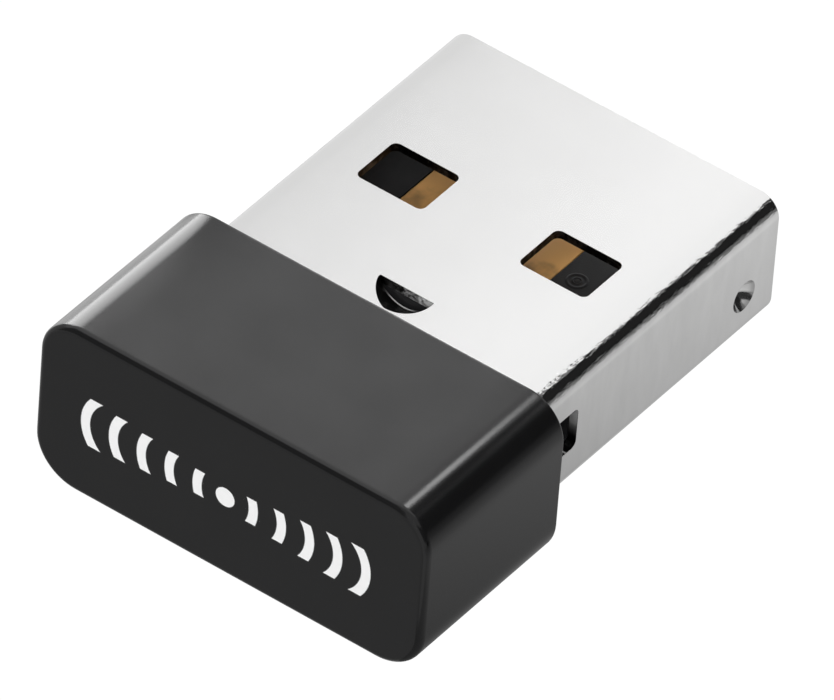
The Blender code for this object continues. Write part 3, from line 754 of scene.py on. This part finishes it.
def cap_rings():
    """The cap's skin as rings: from its front's middle, round the outside and into the bore to its end."""
    def outer(inset):
        """The outside, drawn in by inset."""
        return section(cap_high[0], cap_low[2], cap_high[2], CAP_SOLE_CORNER, CAP_TOP_CORNER, inset)

    def bore(inset):
        """The bore, a gap wider than the shell, drawn in by inset."""
        grown = BORE_GAP - inset
        corner = SHELL_CORNER + grown
        return section(half_shell + grown, sole_z - grown, roof_z + grown, corner, corner)

    quarter = np.radians(np.linspace(0, 90, 7))
    rings = shrunk(outer(CAP_FRONT_EDGE), front_y, (0.002, 0.2, 0.4, 0.6, 0.8, 0.95, 0.995))
    for a in quarter:
        inset = CAP_FRONT_EDGE * (1 - math.sin(a))
        rings.append(ring_at(outer(inset), front_y + CAP_FRONT_EDGE * (1 - math.cos(a))))
    straight = np.linspace(front_y + CAP_FRONT_EDGE + 0.02, back_y - CAP_BACK_EDGE - 0.02, 14)
    rings += [ring_at(outer(0), y) for y in straight]
    for a in quarter:
        inset = CAP_BACK_EDGE * (1 - math.cos(a))
        rings.append(ring_at(outer(inset), back_y - CAP_BACK_EDGE * (1 - math.sin(a))))
    rim, mouth = outer(CAP_BACK_EDGE), bore(-BORE_EDGE)
    rings += [ring_at(rim + (mouth - rim) * share, back_y) for share in (0.25, 0.5, 0.75)]
    for a in quarter:
        rings.append(ring_at(bore(-BORE_EDGE * (1 - math.sin(a))), back_y - BORE_EDGE * (1 - math.cos(a))))
    coarse = np.arange(front_y + FRONT_WALL, back_y - 1, 0.4)
    fine = np.arange(back_y - 0.8, back_y - 0.1, 0.05)
    down = np.unique(np.round([*coarse, *fine], 3))[::-1]
    rings += [ring_at(bore(0), y) for y in down]
    rings += shrunk(bore(0), front_y + FRONT_WALL, (0.9, 0.6, 0.3, 0.002))
    return np.array(rings)


def cap_points():
    """The rings with a snap raised on each side of the bore: x moves in by its height times two ramps."""
    rings = cap_rings()
    x, y, z = rings[..., 0], rings[..., 1], rings[..., 2]
    snap_y = tip_y - SIDE_WINDOW_FROM_TIP[0] + BORE_GAP + SNAP_LONG / 2
    snap_z = sole_z + sum(SIDE_WINDOW_UP) / 2
    lengthwise = np.clip(1.5 - np.abs(y - snap_y) / (SNAP_LONG / 2), 0, 0.5) * 2
    upwards = np.clip(1.5 - np.abs(z - snap_z) / (SNAP_HIGH / 2), 0, 0.5) * 2
    on_side = np.abs(np.abs(x) - half_shell - BORE_GAP) < NEAR
    rings[..., 0] = x - np.where(on_side, np.sign(x) * SNAP_PROUD * lengthwise * upwards, 0)
    return rings * MM


MARK_X = -0.13
MARK_Z = 2.96
MARK_DOT = 0.34
MARK_STROKE = 0.33
MARK_PITCH = 1.02
MARK_CURVE = 1.35
MARK_ARCS = 5


def satin_black():
    """Satin ABS, nearly black: eroded grain and faint clouds. White ink prints a radio mark on the front."""
    finish = Finish("satin_abs")
    point = finish.place()
    x, y, z = finish.axes(point)
    across, up = abs(x - MARK_X), abs(z - MARK_Z)
    ink = ((across * across + up * up) ** 0.5).below(MARK_DOT, 0.03)
    for ordinal in range(1, MARK_ARCS + 1):
        middle = ordinal * MARK_PITCH - MARK_CURVE
        along = across - middle
        ring = abs((along * along + up * up) ** 0.5 - MARK_CURVE).below(MARK_STROKE / 2, 0.03)
        ink = ink.most(ring * up.below(0.36 + 0.11 * ordinal, 0.03) * along.above(0.0, 0.05))
    ink = ink * y.below(front_y + 0.05, 0.02)
    grain = finish.noise(point, 0.05, 3.0, 0.6)
    cloud = finish.noise(point, 2.2, 3.0)
    ground = finish.blend(cloud, (0.0046, 0.0046, 0.0048), (0.0068, 0.0068, 0.0071))
    colour = finish.blend(ink, ground, (0.92, 0.92, 0.92))
    rough = 0.12 + cloud * 0.07 + grain * 0.03 + ink * 0.25
    normal = finish.relief(grain + ink * 0.6, 0.0012)
    return finish.done(Base_Color=colour, Roughness=rough, Specular_IOR_Level=0.55, Normal=normal)


cap_skin = cap_points()
piece("cap", cap_skin, tube_faces(*cap_skin.shape[:2]), satin_black(), ["outer_cap"], 30)

# ---- table and light ---------------------------------------------------------------------------
# A plain white table and backdrop that only the camera sees, and light cards all round: a ceiling, a
# softbox behind on the left, a strip close to the cap, dark flags on the right and in front, a fill
# beside the camera, and grey mats beside the plug that its right side mirrors.

TABLE_DROP = 0.02 * MM
TABLE_HALF = 3.0
DOME_RADIUS = 4.0
MAT_DROP = 0.3 * MM


def studio(name, points, faces, material, camera_only):
    """A flat or round thing of the studio, seen either by the camera alone or by everything else."""
    mesh = bpy.data.meshes.new(name)
    mesh.from_pydata(np.asarray(points).tolist(), [], faces)
    mesh.materials.append(material)
    item = bpy.data.objects.new(name, mesh)
    bpy.context.scene.collection.objects.link(item)
    item.visible_camera = camera_only
    item.visible_diffuse = item.visible_glossy = item.visible_transmission = not camera_only
    item.visible_shadow = not camera_only
    return item


def glow(name, foot, head, drift=0.0):
    """Light from foot at a card's lower edge to head at its upper one, plus drift from left to right."""
    finish = Finish(name)
    across, height, _ = finish.axes(finish.node("ShaderNodeUVMap"))
    level = foot + height * (head - foot) + across * drift
    light = finish.node("ShaderNodeEmission", (), {0: level, 1: 1.0})
    finish.node("ShaderNodeOutputMaterial", (), {0: light})
    return finish.material


def table_white():
    """White from above, clear from below, so that the object's sole can be looked at too."""
    finish = Finish("table_white")
    light = finish.node("ShaderNodeEmission", (), {0: (1, 1, 1), 1: 1.02})
    clear = finish.node("ShaderNodeBsdfTransparent")
    below = finish.node("ShaderNodeNewGeometry", output=6)
    shown = finish.node("ShaderNodeMixShader", (), {0: below, 1: light, 2: clear})
    finish.node("ShaderNodeOutputMaterial", (), {0: shown})
    return finish.material


SQUARE = ((-1, -1), (1, -1), (1, 1), (-1, 1))


def lit(name, corners, light):
    """A card with four corners that everything but the camera sees."""
    item = studio(name, corners, [(0, 1, 2, 3)], light, False)
    item.data.uv_layers.new().data.foreach_set("uv", (0, 0, 1, 0, 1, 1, 0, 1))
    return item


def card(name, azimuth, elevation, wide, high, distance, foot, head, aim=(0, 0, 0)):
    """A card that faces aim (in mm) from azimuth (0 is +Y, 90 is +X) and spans wide x high degrees."""
    a, e = math.radians(azimuth), math.radians(elevation)
    out = np.array([math.sin(a) * math.cos(e), math.cos(a) * math.cos(e), math.sin(e)])
    right = np.array([math.cos(a), -math.sin(a), 0])
    up = np.cross(right, out)
    half_wide = distance * math.tan(math.radians(wide / 2))
    half_high = distance * math.tan(math.radians(high / 2))
    centre = np.array(aim) * MM + out * distance
    corners = [centre + sx * half_wide * right + sy * half_high * up for sx, sy in SQUARE]
    return lit(name, corners, glow(name, foot, head))


def mat(name, near, far, start, end, foot, head, drift):
    """A card flat on the table, from x near to far and y start to end in millimetres."""
    corners = [(near, start), (near, end), (far, end), (far, start)]
    lit(name, [(x * MM, y * MM, -MAT_DROP) for x, y in corners], glow(name, foot, head, drift))


table_points = [(sx * TABLE_HALF, sy * TABLE_HALF, -TABLE_DROP) for sx, sy in SQUARE]
studio("table", table_points, [(0, 1, 2, 3)], table_white(), True)
turn = np.linspace(0, 2 * math.pi, 32, endpoint=False)
tilt = np.linspace(-1, 1, 17)[:, None] * math.pi / 2 * 0.999
dome = [np.cos(tilt) * np.cos(turn), np.cos(tilt) * np.sin(turn), np.sin(tilt)]
dome = np.stack(np.broadcast_arrays(*dome), -1) * DOME_RADIUS
studio("backdrop", dome.reshape(-1, 3), tube_faces(17, 32), glow("backdrop_white", 1.02, 1.02), True)

card("ceiling_light", -34, 64, 120, 56, 0.7, 0.95, 0.95)
card("left_softbox", -46, 22, 36, 32, 0.5, 6.8, 5.0)
card("left_spill", -46, -14, 50, 38, 0.5, 0.6, 2.4)
card("strip_light", -3, 51, 9, 9, 0.06, 7.0, 7.0, (6.0, -10.6, 6.1))
card("cap_flag", 22, 48, 17, 16, 0.04, 0.06, 0.06, (6.3, -9.2, 6.0))
card("black_flag", 50, 24, 60, 32, 0.5, 0.015, 0.015)
card("dark_room", 108, 14, 56, 40, 0.5, 0.03, 0.03)
card("grey_flag", 53, 45, 32, 10, 0.5, 0.2, 0.2)
card("right_table", 52, -3, 60, 22, 0.5, 0.28, 0.1)
card("front_table", -146, -41, 60, 50, 0.5, 0.28, 0.32)
card("front_flag", -148, 26, 60, 66, 0.6, 0.12, 0.12).visible_diffuse = False
card("camera_fill", 150, 35, 34, 44, 0.9, 7.0, 7.0).visible_glossy = False
mat("table_rear", 6.2, 11.5, -12, 4, 0.14, 0.28, 0.28)
mat("table_tip", 6.2, 11.5, 4, 20, 0.42, 0.56, 0.16)
mat("table_far", 11.5, 60, -20, 60, 0.32, -0.4, 0.8)
board = [(-12, 0.2, 0), (-12, 30, 0), (-12, 30, 15), (-12, 4.5, 15)]
lit("left_board", np.array(board) * MM, glow("left_board", 0.93, 0.93))

world = bpy.data.worlds.new("studio_air")
world.use_nodes = True
world.node_tree.nodes["Background"].inputs[0].default_value = (0.45, 0.45, 0.45, 1.0)
bpy.context.scene.world = world
bpy.context.scene.view_settings.view_transform = "Standard"

# ---- camera ------------------------------------------------------------------------------------
# A long lens half a metre away, above the cap's right front edge. The real object lies tipped on
# its plug's tip, which the camera's roll stands for.

CAMERA_AZIMUTH = 33.813
CAMERA_ELEVATION = 41.640
CAMERA_ROLL = 4.564
CAMERA_DISTANCE = 0.50842
CAMERA_LENS = 751.1
AIM = np.array([0.160, -0.437, 2.800]) * MM

a, e, r = (math.radians(angle) for angle in (CAMERA_AZIMUTH, CAMERA_ELEVATION, CAMERA_ROLL))
backwards = np.array([math.sin(a) * math.cos(e), -math.cos(a) * math.cos(e), math.sin(e)])
level_right = np.array([math.cos(a), math.sin(a), 0])
level_up = np.cross(backwards, level_right)
right = math.cos(r) * level_right + math.sin(r) * level_up
up = np.cross(backwards, right)
camera = bpy.data.objects.new("camera", bpy.data.cameras.new("camera"))
bpy.context.scene.collection.objects.link(camera)
place = np.eye(4)
place[:3, :3] = np.stack([right, up, backwards], -1)
place[:3, 3] = AIM + backwards * CAMERA_DISTANCE
camera.matrix_world = Matrix(place.tolist())
camera.data.lens = CAMERA_LENS
camera.data.sensor_width = 36.0
camera.data.clip_start = 0.01
bpy.context.scene.camera = camera
